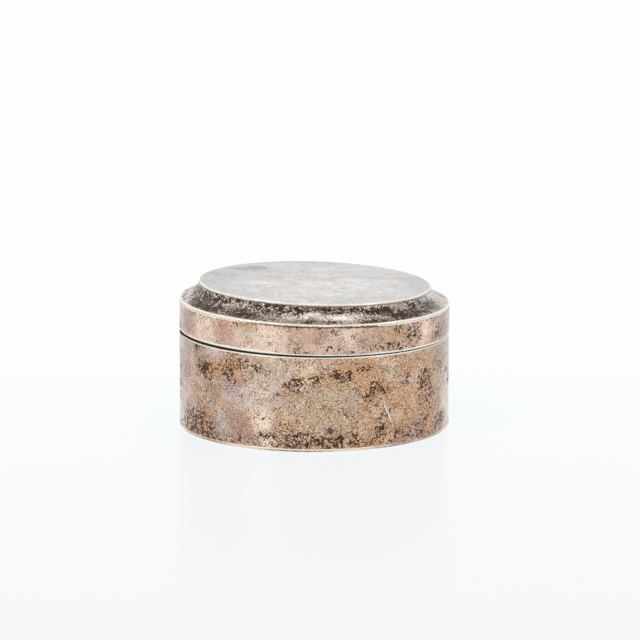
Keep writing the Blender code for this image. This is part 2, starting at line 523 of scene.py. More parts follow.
# What the turning can be told. A lean grows between its two heights, which start out below every piece.
TURN_SETTINGS = {
    "Steps": ROUND_STEPS,
    "Wear": 0.0,
    "Side Wear": 0.0,
    "Dents": 0.0,
    "Dent Size": 14 * MM,
    "Seed": 0.0,
    "Lean": 0.0,
    "Lean From": -2.0,
    "Lean To": -1.0,
    "Tilt": 0.0,
    "Lift": 0.0,
}


def make_turning():
    """The tree that turns a section round the axis, wears its corners, dents it and leans it."""
    tree = bpy.data.node_groups.new("turned_sheet", "GeometryNodeTree")
    tree.is_modifier = True
    sockets = [("Section", "Geometry")]
    sockets += [(label, "Int" if isinstance(value, int) else "Float") for label, value in TURN_SETTINGS.items()]
    for label, kind in sockets + [("Silver", "Material")]:
        tree.interface.new_socket(label, in_out="INPUT", socket_type="NodeSocket" + kind)
    tree.interface.new_socket("Piece", in_out="OUTPUT", socket_type="NodeSocketGeometry")
    given = tree.nodes.new("NodeGroupInput").outputs
    result = tree.nodes.new("NodeGroupOutput").inputs

    def stored(name):
        return put(tree, "GeometryNodeInputNamedAttribute", {"Name": name}, data_type="FLOAT").outputs["Attribute"]

    def store(geometry, name, value):
        inputs = {"Geometry": geometry, "Name": name, "Value": value}
        settings = {"data_type": "FLOAT", "domain": "POINT"}
        return put(tree, "GeometryNodeStoreNamedAttribute", inputs, **settings).outputs["Geometry"]

    def blend(name):
        crisp = stored(name)
        return times_plus(tree, minus(tree, stored("worn_" + name), crisp), worn, crisp)

    ring = put(tree, "GeometryNodeCurvePrimitiveCircle", {"Resolution": given["Steps"], "Radius": 1.0})
    share = put(tree, "GeometryNodeSplineParameter").outputs["Factor"]
    ring = store(ring.outputs["Curve"], "turn", times(tree, share, math.tau))
    outline = put(tree, "GeometryNodeMeshToCurve", {"Mesh": given["Section"]}).outputs["Curve"]
    skin = put(tree, "GeometryNodeCurveToMesh", {"Curve": ring, "Profile Curve": outline}).outputs["Mesh"]

    # Wear that wanders round the piece
    turn = stored("turn")
    east = reckon(tree, "SINE", turn)
    south = reckon(tree, "COSINE", turn)
    around = vector(tree, east, south, given["Seed"])
    wander = cloud(tree, around, roughness=0.5, scale=1.6).outputs["Fac"]
    sides = times(tree, minus(tree, reckon(tree, "ABSOLUTE", east), 0.55), given["Side Wear"])
    worn = times(tree, ease(tree, plus(tree, wander, sides), 0.35, 0.65), given["Wear"])

    # Shallow dents, never past the unworn sheet
    radius = blend("span")
    height = blend("height")
    skin_place = vector(
        tree, times(tree, east, radius), times(tree, south, radius), plus(tree, height, given["Seed"])
    )
    dent_scale = reckon(tree, "DIVIDE", 1.0, given["Dent Size"])
    dent = cloud(tree, skin_place, detail=2.0, roughness=0.45, scale=dent_scale).outputs["Fac"]
    inward = times(tree, ease(tree, dent, 0.25, 0.85), given["Dents"])
    radius = larger(tree, minus(tree, radius, inward), 0.0)
    held = reckon(tree, "MINIMUM", radius, stored("span"))

    # The piece's lean, then the whole lid's tilt and lift
    x = times(tree, east, held)
    y = times(tree, times(tree, south, held), -1.0)
    inputs = {"Value": height, "From Min": given["Lean From"], "From Max": given["Lean To"]}
    share = put(tree, "ShaderNodeMapRange", inputs).outputs["Result"]
    drop = times(tree, times(tree, share, given["Lean"]), x)
    inputs = {"Vector": vector(tree, x, y, minus(tree, height, drop)), "Angle": given["Tilt"]}
    turned = put(tree, "ShaderNodeVectorRotate", inputs, rotation_type="Y_AXIS").outputs[0]
    inputs = {0: turned, 1: vector(tree, 0.0, 0.0, given["Lift"])}
    lifted = put(tree, "ShaderNodeVectorMath", inputs, operation="ADD").outputs[0]

    piece = put(tree, "GeometryNodeSetPosition", {"Geometry": skin, "Position": lifted}).outputs[0]
    piece = store(piece, "rub", blend("edge_rub"))
    for kind, inputs in (
        ("GeometryNodeMergeByDistance", {"Distance": MERGE_DISTANCE}),
        ("GeometryNodeSetShadeSmooth", {"Shade Smooth": True}),
        ("GeometryNodeRealizeInstances", {}),
        ("GeometryNodeSetMaterial", {"Material": given["Silver"]}),
    ):
        piece = put(tree, kind, {"Geometry": piece, **inputs}).outputs[0]
    tree.links.new(piece, result["Piece"])
    return tree


TURNING = make_turning()


def turned_piece(name, rows, closed, silver, **settings):
    """A plain mesh object turned from a section by the tree."""
    outline = bpy.data.meshes.new(name)
    count = len(rows)
    edges = [(i, i + 1) for i in range(count - 1)] + ([(count - 1, 0)] if closed else [])
    outline.from_pydata([(row[0], 0.0, row[1]) for row in rows], edges, [])
    for column, label in enumerate(PROFILE_MAPS):
        outline.attributes.new(label, "FLOAT", "POINT").data.foreach_set("value", rows[:, column].astype(np.float32))
    blank = bpy.data.objects.new(name + "_section", outline)
    bpy.context.scene.collection.objects.link(blank)
    modifier = blank.modifiers.new("turn", "NODES")
    modifier.node_group = TURNING
    told = {key.replace("_", " ").title(): value for key, value in settings.items()}
    values = {**TURN_SETTINGS, "Silver": silver, **told}
    for item in TURNING.interface.items_tree:
        if item.in_out == "INPUT" and item.name in values:
            modifier[item.identifier] = values[item.name]
    mesh = bpy.data.meshes.new_from_object(blank.evaluated_get(bpy.context.evaluated_depsgraph_get()))
    bpy.data.objects.remove(blank)
    bpy.data.meshes.remove(outline)
    for label in ("turn", *PROFILE_MAPS[:PROFILE_MAPS.index("grime")]):
        mesh.attributes.remove(mesh.attributes[label])
    mesh.name = name
    piece = bpy.data.objects.new(name, mesh)
    bpy.context.scene.collection.objects.link(piece)
    return piece


# Places read in the photo. Its camera: the pixel of the drum's foot on the axis, mm a pixel there, the pitch, and the
# distance in pixels. Each box is the left, right, upper and lower pixel of a mark, read one by one, then its strength.

PHOTO_COLUMN = 314
PHOTO_ROW = 420.7
PHOTO_MM = 0.33582
PHOTO_PITCH = math.radians(12.91)
PHOTO_DISTANCE = 3617.0


def drum_mark(left, right, upper, lower, strength):
    """A box of the photo as a mark on the drum."""
    radius = DRUM_RADIUS / MM / PHOTO_MM
    angle, start, end = (math.asin((column - PHOTO_COLUMN) / radius) for column in ((left + right) / 2, left, right))
    foot = PHOTO_ROW + radius * math.cos(angle) * math.sin(PHOTO_PITCH)
    upright = PHOTO_MM / math.cos(PHOTO_PITCH)
    height = (foot - (upper + lower) / 2) * upright
    half_width = DRUM_RADIUS / MM * (end - start) / 2
    half_height = (lower - upper) / 2 * upright
    return round(math.degrees(angle)), round(height, 1), round(half_width, 1), round(half_height, 1), strength


def skirt_mark(column, row, width, height, strength):
    """A place in the photo, with a size in pixels, as a mark on the lid's skirt."""
    sine, cosine = math.sin(PHOTO_PITCH), math.cos(PHOTO_PITCH)
    forward, upward = np.array([0, cosine, -sine]), np.array([0, sine, cosine])
    camera = -forward * PHOTO_DISTANCE * PHOTO_MM
    way = forward * PHOTO_DISTANCE + np.array([column - PHOTO_COLUMN, 0, 0]) - upward * (row - PHOTO_ROW)
    radius = LID_RADIUS / MM
    square, slant = way[0] ** 2 + way[1] ** 2, camera[0] * way[0] + camera[1] * way[1]
    reach = (-slant - math.sqrt(slant**2 - square * (camera[1] ** 2 - radius**2))) / square
    x, y, level = camera + way * reach
    angle = math.degrees(math.atan2(x, -y))
    above_edge = level - LID_EDGE_LEVEL / MM + LID_SLOPE * x
    half_width = width * PHOTO_MM / max(-y / radius, 0.25)
    return round(angle), round(above_edge, 1), round(half_width, 1), round(height * PHOTO_MM / cosine, 1), strength


def cove_in_photo():
    """Angles and heights over the cove in the lid's frame, and the column and row where each place shows."""
    angle, share = np.meshgrid(np.radians(np.linspace(-95, 95, 381)), np.linspace(0, 1, 61), indexing="ij")
    slant = math.hypot(COVE_INSET, COVE_RISE)
    sag = 4 * COVE_SAG * share * (1 - share)
    radius = (LID_RADIUS - COVE_INSET * share - COVE_RISE / slant * sag) / MM
    x, y = radius * np.sin(angle), -radius * np.cos(angle)
    level = (SHOULDER + COVE_RISE * share - COVE_INSET / slant * sag) / MM - TOP_SLOPE * share * x
    tilt = math.asin(LID_SLOPE)
    x, rise = x * math.cos(tilt) + level * math.sin(tilt), level * math.cos(tilt) - x * math.sin(tilt)
    z = rise + LID_EDGE_LEVEL / MM
    sine, cosine = math.sin(PHOTO_PITCH), math.cos(PHOTO_PITCH)
    nearness = PHOTO_DISTANCE / (PHOTO_DISTANCE * PHOTO_MM + y * cosine - z * sine)
    return angle, rise + LID_SLOPE * x, PHOTO_COLUMN + x * nearness, PHOTO_ROW - (y * sine + z * cosine) * nearness


COVE_ANGLE, COVE_HEIGHT, COVE_COLUMN, COVE_ROW = cove_in_photo()


def cove_mark(left, right, upper, lower, strength):
    """A box of the photo as a mark on the cove."""
    def nearest(column, row):
        at = np.hypot(COVE_COLUMN - column, COVE_ROW - row).argmin()
        return float(COVE_ANGLE.flat[at]), float(COVE_HEIGHT.flat[at])

    column, row = (left + right) / 2, (upper + lower) / 2
    angle, height = nearest(column, row)
    half_width = LID_RADIUS / MM * abs(nearest(right, row)[0] - nearest(left, row)[0]) / 2
    half_height = abs(nearest(column, upper)[1] - nearest(column, lower)[1]) / 2
    half_width, half_height = max(half_width, 0.5), max(half_height, 0.25)
    return round(math.degrees(angle)), round(height, 1), round(half_width, 1), round(half_height, 2), strength


def seen_on(mark, boxes):
    return [mark(*box) for box in boxes]


def fainter(marks, share):
    """Marks with a share of their strength."""
    return [(*place, round(strength * share, 2)) for *place, strength in marks]


# Some marks below paint a sheen, shade or highlight rather than tarnish, as noted where they stand.
# Maps of tarnish. Marks are (degrees from the front towards +X, height in mm, half width, half height, strength),
# and spots on a flat piece are (x, y, half width, half depth, strength), in mm.

COVE_TARNISH_SHARE = 0.86

DRUM_MARKS = {
    "Gold": [
        (-53, 11, 6.5, 8.6, 0.4), (-48, 24.8, 4.5, 4.5, 0.56), (-36, 25.1, 4.6, 4.1, 0.8),
        (-11, 10, 5.1, 4.5, 0.4), (4, 29, 3, 2, 0.5), (7, 24, 6, 3, 0.4), (14, 27.1, 5.9, 3.1, 0.68),
        (16, 2.6, 18, 2.1, 0.56), (21, 9, 4, 6, 0.4), (22, 22.7, 5.6, 7.8, 0.8), (34, 12.3, 4.9, 10.3, 0.48),
        (40, 18, 7, 11, 0.56), (46, 22.9, 7.4, 6.9, 0.48), (55, 12, 6, 10, 0.48),
    ],
    "Rose": [
        (-58, 27.4, 10.5, 1.7, 0.3), (-57, 24.2, 3.1, 2.2, 0.5), (-52, 8, 8, 8, 0.6), (-47, 3, 5, 2, 0.4),
        (-47, 17, 7, 6, 0.4), (-40, 3, 10, 3, 0.6), (-37, 21.5, 4.5, 3.5, 0.8), (-36, 6, 7.1, 5, 0.9),
        (-31, 31.4, 7.2, 2.4, 0.4), (-29, 22.8, 3.5, 2.4, 0.5), (4, 32.1, 5.4, 1.6, 0.8), (34, 1.6, 6, 1.8, 0.5),
        (40, 4.7, 4.6, 3.4, 0.5), (47, 2, 7, 2.8, 0.7), (47, 3, 4, 2.2, 0.5), (54, 7, 5.8, 6.9, 1),
    ],
    "Lilac": [
        (-63, 10.2, 3.7, 8.6, 0.3), (-47, 30.2, 5.7, 2.2, 0.42), (-39, 6.5, 4.6, 5.2, 0.24),
        (-31, 16.7, 6.7, 4.1, 0.54), (-11, 25.5, 3.8, 1.4, 0.3), (0, 18.8, 5, 2.1, 0.3),
        (45, 22.3, 3.1, 3.1, 0.42), (78, 15, 5, 15, 0.28),
    ],
    "Olive": [
        (-82, 14, 6, 14, 0.4), (-24, 27.3, 5.5, 3.8, 0.51), (-12, 22, 5.2, 3.4, 0.42), (-11.6, 8, 3, 2.4, 0.4),
        (-9, 8, 4, 2.4, 0.45), (-8, 28.4, 6.8, 3.4, 0.51), (5, 13.1, 8, 6, 0.85), (9, 23, 6, 3.5, 0.51),
        (12, 23.4, 3.8, 3, 0.75), (27, 9.5, 4.1, 6.9, 0.3), (84, 12, 6, 13, 0.35),
    ],
    # These marks near ±90° paint a pale sheen down both sides of the drum.
    "Ash": [
        (-90, 15, 8, 7, 0.75), (-88, 15, 3.5, 18, 0.7), (-87, 25, 6, 7, 0.8), (-86, 5, 5, 7, 0.8),
        (84, 7, 9, 7, 0.9), (84, 26, 8, 6, 0.85), (86, 15, 5, 18, 0.85), (89, 17, 10, 6, 0.85),
    ],
    "Pale": [
        (-45, 31.9, 5.7, 2.2, 0.42), (-30, 16.7, 2, 2, 0.3), (-30, 16.7, 3.9, 3.4, 0.77),
        (-28, 10.5, 2.5, 2.5, 0.2), (-28, 27.7, 3, 2.4, 0.35), (-28, 28.5, 4, 2.2, 0.5), (-24, 18.5, 4, 3, 0.3),
        (-24, 22, 5, 9, 0.42), (-24, 31, 7, 3, 0.51), (-23, 32.2, 5, 1.5, 0.4), (-22, 9.7, 3.8, 5.3, 0.77),
        (-20, 19.4, 2.5, 2.6, 0.42), (-19.6, 3.4, 3, 2, 0.4), (-19.5, 2.4, 2.2, 1.5, 0.65),
        (-11, 23.8, 3, 2.6, 0.3), (-8, 13.2, 5, 3, 0.45), (-8, 28.9, 6.8, 2.9, 0.51), (-7, 28, 4.5, 2.8, 0.3),
        (-6, 22.5, 3, 3, 0.35), (-4, 23.7, 3, 2.5, 0.4), (-4, 28, 4, 2.5, 0.4), (-2, 14.9, 3.4, 2.6, 0.26),
        (1, 27.6, 3, 2, 0.25), (4, 3.5, 3, 2, 0.3), (20, 8.2, 3, 2.6, 0.4), (20, 18, 3, 3, 0.35),
        (28, 3.2, 3, 2, 0.35), (28, 12.2, 3, 2.4, 0.35), (28, 13, 2.6, 3, 0.45), (28, 28, 5, 2.2, 0.35),
        (33, 23, 2, 2, 0.3), (37, 11.2, 3, 2.4, 0.3), (37, 11.5, 3, 2.6, 0.35), (37, 12.2, 3, 3, 0.3),
        (37, 13, 3, 3, 0.3), (37, 19, 3, 8, 0.45), (37, 27.8, 3, 2, 0.4), (37.2, 13.4, 3.2, 5, 0.6),
        (42, 17, 6, 10, 0.35), (46, 18, 4, 6, 0.3), (46, 23.4, 3, 3, 0.35), (54, 12, 3, 3, 0.3),
    ],
    "tarnish": seen_on(drum_mark, [
        (199, 217, 361, 377, 0.85), (206, 212, 362, 370, 0.9), (237, 252, 359, 372, 0.85),
        (250, 267, 364, 377, 0.85), (283, 307, 377, 395, 0.8), (308, 319, 376, 389, 1), (318, 328, 378, 386, 0.6),
        (346, 353, 372, 381, 1), (353, 369, 365, 374, 0.7), (379, 391, 386, 394, 0.75), (399, 411, 373, 379, 0.95),
        (398, 408, 380, 387, 0.9), (413, 428, 372, 391, 0.8), (375, 384, 422, 434, 1), (378, 388, 410, 420, 0.55),
        (370, 384, 405, 416, 0.5), (319, 333, 428, 433, 0.95), (334, 343, 434, 443, 1), (310, 336, 433, 448, 0.8),
        (349, 356, 431, 440, 0.9), (344, 366, 438, 447, 0.45), (262, 274, 429, 441, 0.95),
        (272, 284, 436, 446, 0.5), (282, 304, 430, 443, 0.8), (297, 314, 432, 438, 0.9),
        (286, 312, 440, 448, 0.78), (262, 362, 442, 449, 0.45), (241, 246, 431, 438, 0.95),
        (188, 212, 405, 434, 0.75), (184, 198, 410, 440, 0.6), (200, 236, 430, 442, 0.55),
        (366, 430, 425, 442, 0.5), (432, 444, 408, 430, 0.6), (416, 432, 396, 420, 0.5),
        (384, 396, 394, 412, 0.22), (186, 194, 360, 380, 0.4), (300, 318, 405, 418, 0.35),
        (262, 272, 412, 424, 0.5), (290, 300, 404, 416, 0.5), (388, 398, 366, 374, 0.5), (276, 284, 390, 398, 0.4),
        (420, 434, 386, 404, 0.35), (430, 440, 360, 376, 0.4), (340, 356, 408, 420, 0.3),
        (196, 210, 347, 350, 0.9), (208, 222, 346, 351, 0.7), (222, 236, 349, 352, 0.7), (238, 250, 352, 354, 0.8),
        (198, 204, 350, 354, 0.6),
    ]) + [
        (-38, 25.6, 3, 3.4, 0.75), (-37, 21.6, 2.4, 1.4, 0.45), (-36, 18, 5, 5, 0.15), (-12, 7.6, 2.6, 1.8, 0.25),
        (9, 25.2, 2.6, 1.6, 1), (11.6, 23.5, 2.2, 1.4, 0.5), (22, 17.4, 2, 1.8, 1), (26, 20, 2.6, 2.4, 0.97),
        (27, 14.6, 1, 0.9, 1), (29, 16.4, 0.6, 0.6, 1), (31, 13.6, 0.7, 0.8, 1), (47, 2.6, 3, 2, 0.3),
    ],
    "rub": [
        (30.3, 14.3, 0.32, 1, 0.62), (30.8, 13.4, 0.32, 1, 0.64), (31.3, 12.5, 0.32, 1, 0.66),
        (31.9, 11.6, 0.32, 1, 0.68), (32.6, 10.7, 0.32, 1, 0.68), (33.2, 9.7, 0.32, 1.1, 0.68),
        (33.8, 8.7, 0.32, 1.1, 0.66), (34.3, 7.7, 0.32, 1.1, 0.62), (34.7, 6.7, 0.32, 1.1, 0.6),
    ],
}

# Darkening along the rim's top edge beside the lid's seam: stains and painted shade of the gap.
RIM_STAINS_AND_SHADE = [
    (-80, 31.2, 6, 0.42, 0.72), (-56, 31.5, 2.5, 0.3, 0.5), (-47, 31.5, 1.5, 0.3, 0.4), (4, 31.1, 6, 0.3, 0.4),
    (150, 31.1, 9, 0.5, 0.8), (215, 31.1, 6, 0.5, 0.8),
]

SKIRT_MARKS = {
    "Rose": [
        (-68, 4.9, 5.2, 3.8, 0.9), (-43, 6.8, 4.4, 3.8, 0.4), (2, 6.4, 3.5, 3.4, 0.7), (22, 6, 4.2, 4.1, 0.75),
        (44, 9.3, 3.5, 1.7, 0.4), (61, 2.6, 3, 2.4, 0.6), (68, 6, 4.5, 5, 0.9), (74, 5, 5, 6, 0.85),
    ],
    "Olive": [
        (-6, 5, 3.4, 2.9, 0.7), (31, 6.1, 2.7, 4.1, 0.6),
    ],
    "Lilac": [
        (-13, 3.9, 2.4, 2.1, 0.2), (14, 5.8, 1.6, 4, 0.4), (65, 7.4, 4, 4.3, 0.3),
    ],
    "Gold": [
        (-43, 5.6, 4.4, 2.6, 0.3), (-31, 6.7, 5.1, 4, 0.4), (-6, 6.9, 3.4, 4.1, 0.6), (25, 5.8, 3.3, 3.4, 0.4),
        (41, 6.6, 6.3, 4.1, 0.75),
    ],
    # These marks near ±90° paint a pale sheen down both sides of the skirt.
    "Ash": [
        (-91, 2, 6, 4, 0.75), (-88, 4.7, 3.5, 8, 0.6), (-86, 7.4, 6, 4, 0.7), (87, 6.6, 5, 5, 0.65),
        (90, 1.6, 7, 3.5, 0.65),
    ],
    # The pale marks at -24° and -18° paint a soft upright highlight band; the others are paler, less tarnished skin.
    "Pale": [
        (-61, 3.2, 3, 2, 0.7), (-57, 3, 8, 4, 0.6), (-55, 6.6, 4.8, 4, 0.9), (-48, 7.4, 4, 2.4, 0.6),
        (-37, 7.4, 4, 2.4, 0.3), (-24, 1.2, 6, 1.5, 0.6), (-24, 4, 5, 5, 0.7), (-18, 7.2, 5.1, 4.7, 0.9),
        (-4, 7.2, 4, 2.4, 0.7), (4, 3.2, 4, 2.4, 0.3), (12, 7.2, 4, 2.4, 0.4), (15, 5.8, 1.6, 4, 0.7),
        (19, 8, 3, 3, 0.5), (20, 3, 4, 2, 0.35), (37, 2.8, 3, 1.6, 0.35), (54, 6.5, 4.2, 5.7, 0.7),
    ],
    "tarnish": seen_on(skirt_mark, [
        (353, 336, 6, 3, 0.65), (336, 333, 6, 3, 0.6), (437, 333, 2, 2, 1), (438, 325, 3, 11, 0.5),
        (294, 352.5, 3, 1.5, 1), (304, 353, 5, 1.5, 1), (350, 353.3, 5, 1.2, 0.9), (250, 345, 14, 4, 0.4),
        (390, 345, 16, 4, 0.5), (330, 348, 16, 3, 0.4),
    ]) + [
        (-59, 8.9, 5.9, 1.4, 0.5), (-32, 8.8, 7.1, 1.7, 0.45), (-6, 8.6, 4.7, 1.4, 0.4), (12, 3.6, 6, 2.5, 0.22),
        (26, 4.4, 4, 3, 0.22), (37, 2, 3, 1.8, 0.6), (37, 7.4, 3, 1.8, 0.45), (46, 4.6, 4, 4.8, 0.6),
        (49, 7.6, 2.5, 2.8, 0.5), (61, 2.6, 2.6, 1.8, 0.4), (71, 5, 2, 2, 0.5),
    ],
    # These marks brighten the lower edge at the left front: wear and a painted highlight.
    "rub": [
        (-40, 0.3, 5, 0.5, 0.6), (-24, 0.3, 9, 0.6, 0.75),
    ],
}

COVE_MARKS = {
    "Gold": seen_on(cove_mark, [
        (228, 246, 300, 306, 0.9), (203, 216, 290, 299, 0.4), (248, 262, 301, 306, 0.3),
    ]),
    "Rose": seen_on(cove_mark, [
        (296, 332, 305, 309, 1), (332, 375, 304, 309, 0.8), (385, 407, 301, 309, 0.7), (253, 266, 303, 308, 0.5),
        (270, 300, 320, 324, 0.4), (372, 388, 302, 306, 0.5),
    ]) + [
        (-12.6, 13.4, 3, 0.8, 0.5),
    ],
    "Olive": seen_on(cove_mark, [
        (298, 320, 318, 323, 0.8), (400, 410, 301, 307, 0.5), (320, 364, 310, 313, 0.6), (266, 285, 313, 320, 0.5),
        (195, 206, 286, 295, 0.9), (262, 276, 318, 322, 0.5),
    ]),
    "Lilac": seen_on(cove_mark, [
        (182, 198, 284, 302, 1), (222, 240, 304, 308, 0.8), (417, 447, 293, 311, 0.85), (385, 405, 302, 309, 0.4),
        (266, 278, 306, 313, 0.25),
    ]) + [
        (-41, 12.3, 3, 0.6, 0.5), (-31, 12.3, 2.5, 0.6, 0.6),
    ],
    # These marks near ±90° paint a pale sheen down both sides of the cove.
    "Ash": [
        (-86, 12.5, 7, 3, 0.3), (86, 12.5, 7, 3, 0.6),
    ],
    "Pale": seen_on(cove_mark, [
        (283, 291, 313, 320, 0.8), (300, 320, 312, 318, 1), (325, 370, 315, 321, 1), (338, 354, 316, 323, 1),
        (222, 240, 303, 307, 0.5), (388, 406, 302, 309, 0.5), (200, 216, 297, 301, 0.4),
    ]) + [
        (-31, 12.4, 2, 0.7, 0.4), (-20, 11.4, 3, 0.7, 0.5), (-4, 11.4, 2.5, 0.7, 0.5), (-4, 11.5, 3, 0.8, 0.5),
        (31, 11.6, 2, 0.7, 0.5), (40, 13.9, 4, 0.7, 0.5), (50, 13.6, 5, 1.2, 0.5), (61, 13.2, 4, 1.4, 0.4),
        (80, 13.8, 6, 1.2, 0.7), (98, 12.8, 9, 2.6, 0.7),
    ],
    "Soot": seen_on(cove_mark, [
        (188, 224, 301, 313, 0.75), (224, 252, 307, 314, 0.75), (228, 264, 312, 319, 0.85),
        (236, 264, 312, 318, 0.8), (315, 366, 308, 311, 0.6), (362, 398, 307, 314, 1), (385, 430, 309, 320, 0.8),
        (402, 426, 299, 318, 0.25), (424, 440, 298, 315, 0.5), (262, 298, 303, 309, 0.6),
        (198, 225, 296, 305, 0.4), (360, 392, 319, 323, 0.8), (298, 318, 318, 323, 0.4), (424, 438, 293, 311, 0.3),
    ]) + [
        (-80, 13.4, 4, 1.8, 0.5), (-72, 13.2, 3, 1.6, 0.4), (-70, 11.4, 4, 1, 0.5), (-64, 11.4, 4, 1, 0.4),
        (-38, 10.9, 6, 0.5, 0.4), (-21, 12.6, 2.5, 1, 0.5), (31, 13.4, 4, 1, 0.5), (64, 11.8, 5, 1.3, 0.45),
        (71, 12.4, 4, 1.2, 0.4),
    ],
    "rub": seen_on(cove_mark, [
        (300, 320, 312, 318, 0.62), (326, 352, 316, 321, 0.8), (344, 368, 314, 318, 0.52),
        (283, 292, 314, 320, 0.5), (314, 325, 311, 315, 0.5), (330, 343, 310, 313, 0.5),
        (222, 262, 316, 319, 0.35), (262, 285, 319, 323, 0.4),
    ]) + [
        (-4, 11.5, 2, 0.5, 0.5),
    ],
    "tarnish": seen_on(cove_mark, [
        (312, 345, 308, 311, 1), (362, 397, 307, 314, 1), (425, 438, 296, 308, 0.2), (188, 224, 302, 313, 0.92),
        (385, 430, 310, 320, 0.93),
    ]) + fainter(seen_on(cove_mark, [
        (200, 216, 293, 301, 0.9), (205, 228, 295, 306, 0.9), (205, 222, 291, 296, 0.5), (222, 240, 296, 301, 0.8),
        (240, 262, 299, 304, 0.7), (216, 223, 303, 312, 0.9), (240, 264, 303, 314, 0.7), (262, 298, 302, 311, 1),
        (278, 302, 308, 316, 0.6), (345, 366, 308, 311, 0.9), (392, 404, 310, 319, 0.8), (320, 366, 312, 314, 0.8),
        (325, 346, 321, 323, 0.7), (360, 392, 319, 323, 0.8), (300, 314, 321, 324, 0.8), (190, 200, 296, 303, 0.4),
        (378, 386, 305, 308, 0.5),
    ]), COVE_TARNISH_SHARE) + [
        (-90, 12, 4, 2, 0.4), (-80, 13.2, 3.5, 1.6, 0.5), (-77, 13, 3, 1.6, 0.45), (-70, 11.6, 3.3, 0.8, 0.5),
        (-66, 13.4, 3, 1.2, 0.5), (-48, 13.4, 3, 1, 0.4), (-36, 11, 6, 0.6, 0.4), (-36, 13.6, 4, 0.9, 0.4),
        (-25, 13.6, 4, 1, 0.5), (-20, 13.7, 2.5, 0.7, 0.6), (-17, 12.8, 2.4, 0.8, 0.4), (-12.6, 13.6, 3, 0.8, 0.4),
        (-4, 13.4, 1.4, 0.6, 0.5), (12, 13.7, 4, 0.6, 0.6), (12.6, 13.2, 3, 0.8, 0.5), (12.6, 13.4, 2.5, 0.8, 0.5),
        (57, 13, 7, 1.5, 0.9), (60, 11.6, 3, 1.2, 0.5), (64, 11.6, 3, 1.2, 0.5), (70, 12, 4, 1.2, 0.55),
    ],
}

# Where the foot's bright edge is wiped off and where a painted contact shadow darkens its lower edge, the dirt of the
# collar's open seam and the painted shade in it, the skirt's clean upper corner, and the rosy edge of the top
FOOT_WIPES = [(-54, 0.3, 14, 0.5, 0.7), (-8, 0, 12, 0.4, 0.9), (48, 0.3, 16, 0.6, 0.85)]
FOOT_CONTACT_SHADOW = [(-8, 0, 12, 0.3, 0.7)]
ALL_ROUND = 1000
COLLAR_SEAM_DIRT_AND_SHADE = [(0, RIM_HEIGHT / MM, ALL_ROUND, 1.1, 0.98)]
SKIRT_WIPES = [(-62, 9.4, 10, 0.9, 0.6), (-40, 9.4, 12, 0.9, 0.85)]
TOP_EDGE_ROSE = [(0, (TOP_SEAT + TOP_SHEET / 2) / MM - 0.2, ALL_ROUND, 0.45, 0.98)]

# The darker spots towards the top's back and sides and its big pale middle spot paint a reflection that darkens
# towards the rim.
TOP_SPOTS = {
    "Soot": [
        (-36, 2, 8, 20, 0.95), (36, 2, 7, 22, 0.9), (0, 38, 28, 6, 0.8), (-22, 22, 9, 9, 0.7), (-24, -24, 9, 7, 0.6),
        (26, -22, 8, 8, 0.5), (-30, -18, 6, 7, 0.6), (-29, 6, 8, 14, 0.5), (20, 22, 8, 6, 0.5),
    ],
    "Pale": [(2, -8, 27, 22, 0.95)],
    "tarnish": [
        (-24, 20, 6, 3, 0.8), (-19, 24, 5, 3, 0.75), (-33, 10, 3, 4, 0.55), (-27, 4, 9, 12, 0.42),
        (24, 12, 8, 8, 0.32), (8, -18, 12, 6, 0.3),
    ],
}

# How strongly each tone shows on the sides that no view fixes
BACK_TONES = {"Pale": 0.7, "Olive": 0.7, "Rose": 0.8, "Gold": 0.75, "Lilac": 0.42, "Ash": 0.2, "Soot": 0.12}


def scattered(seed, count, low, high, reach, strength, start=75, end=285):
    """Marks for the sides that no view fixes, strewn with a fixed seed. Heights and reaches are in mm."""
    draw = random.Random(seed)
    return [
        (
            draw.uniform(start, end),
            draw.uniform(low, high),
            draw.uniform(0.4, 1.0) * reach,
            draw.uniform(0.3, 0.7) * reach,
            draw.uniform(0.6, 1.0) * strength,
        )
        for _ in range(count)
    ]


def strewn(seed, count, radius, reach, strength):
    """Spots for a flat round piece, strewn with a fixed seed. All lengths are in mm."""
    draw = random.Random(seed)
    spots = []
    for _ in range(count):
        turn, out = draw.uniform(0, math.tau), radius * math.sqrt(draw.random())
        wide, deep = draw.uniform(0.4, 1.0) * reach, draw.uniform(0.3, 0.8) * reach
        spots.append((out * math.cos(turn), out * math.sin(turn), wide, deep, draw.uniform(0.6, 1.0) * strength))
    return spots


def change_map(mesh, name, change):
    """Gives a map of the mesh new values, made from those that it has; a new map starts at 0."""
    held = mesh.attributes.get(name)
    if held is None:
        held = mesh.attributes.new(name, "FLOAT", "POINT")
    values = np.empty(len(mesh.vertices), np.float32)
    held.data.foreach_get("value", values)
    held.data.foreach_set("value", change(values).astype(np.float32))


def write_map(mesh, name, covered):
    """Adds to a map of the mesh where it is covered."""
    change_map(mesh, name, lambda before: 1.0 - (1.0 - before) * (1.0 - covered))


def wipe_map(mesh, name, covered):
    """Takes a map of the mesh back where it is covered."""
    change_map(mesh, name, lambda before: before * (1.0 - covered))


def vertex_places(mesh):
    places = np.empty(len(mesh.vertices) * 3, np.float32)
    mesh.vertices.foreach_get("co", places)
    return places.reshape(-1, 3)


def within_radius(mesh, radius):
    """Which vertices lie closer to the axis than a radius."""
    return np.hypot(*vertex_places(mesh)[:, :2].T) < radius


def soft_oval(off, strength):
    """How much of a mark shows at each squared distance from its middle, counted in half widths."""
    return min(strength, 0.999) * np.exp(-(off**1.3) * 0.8)


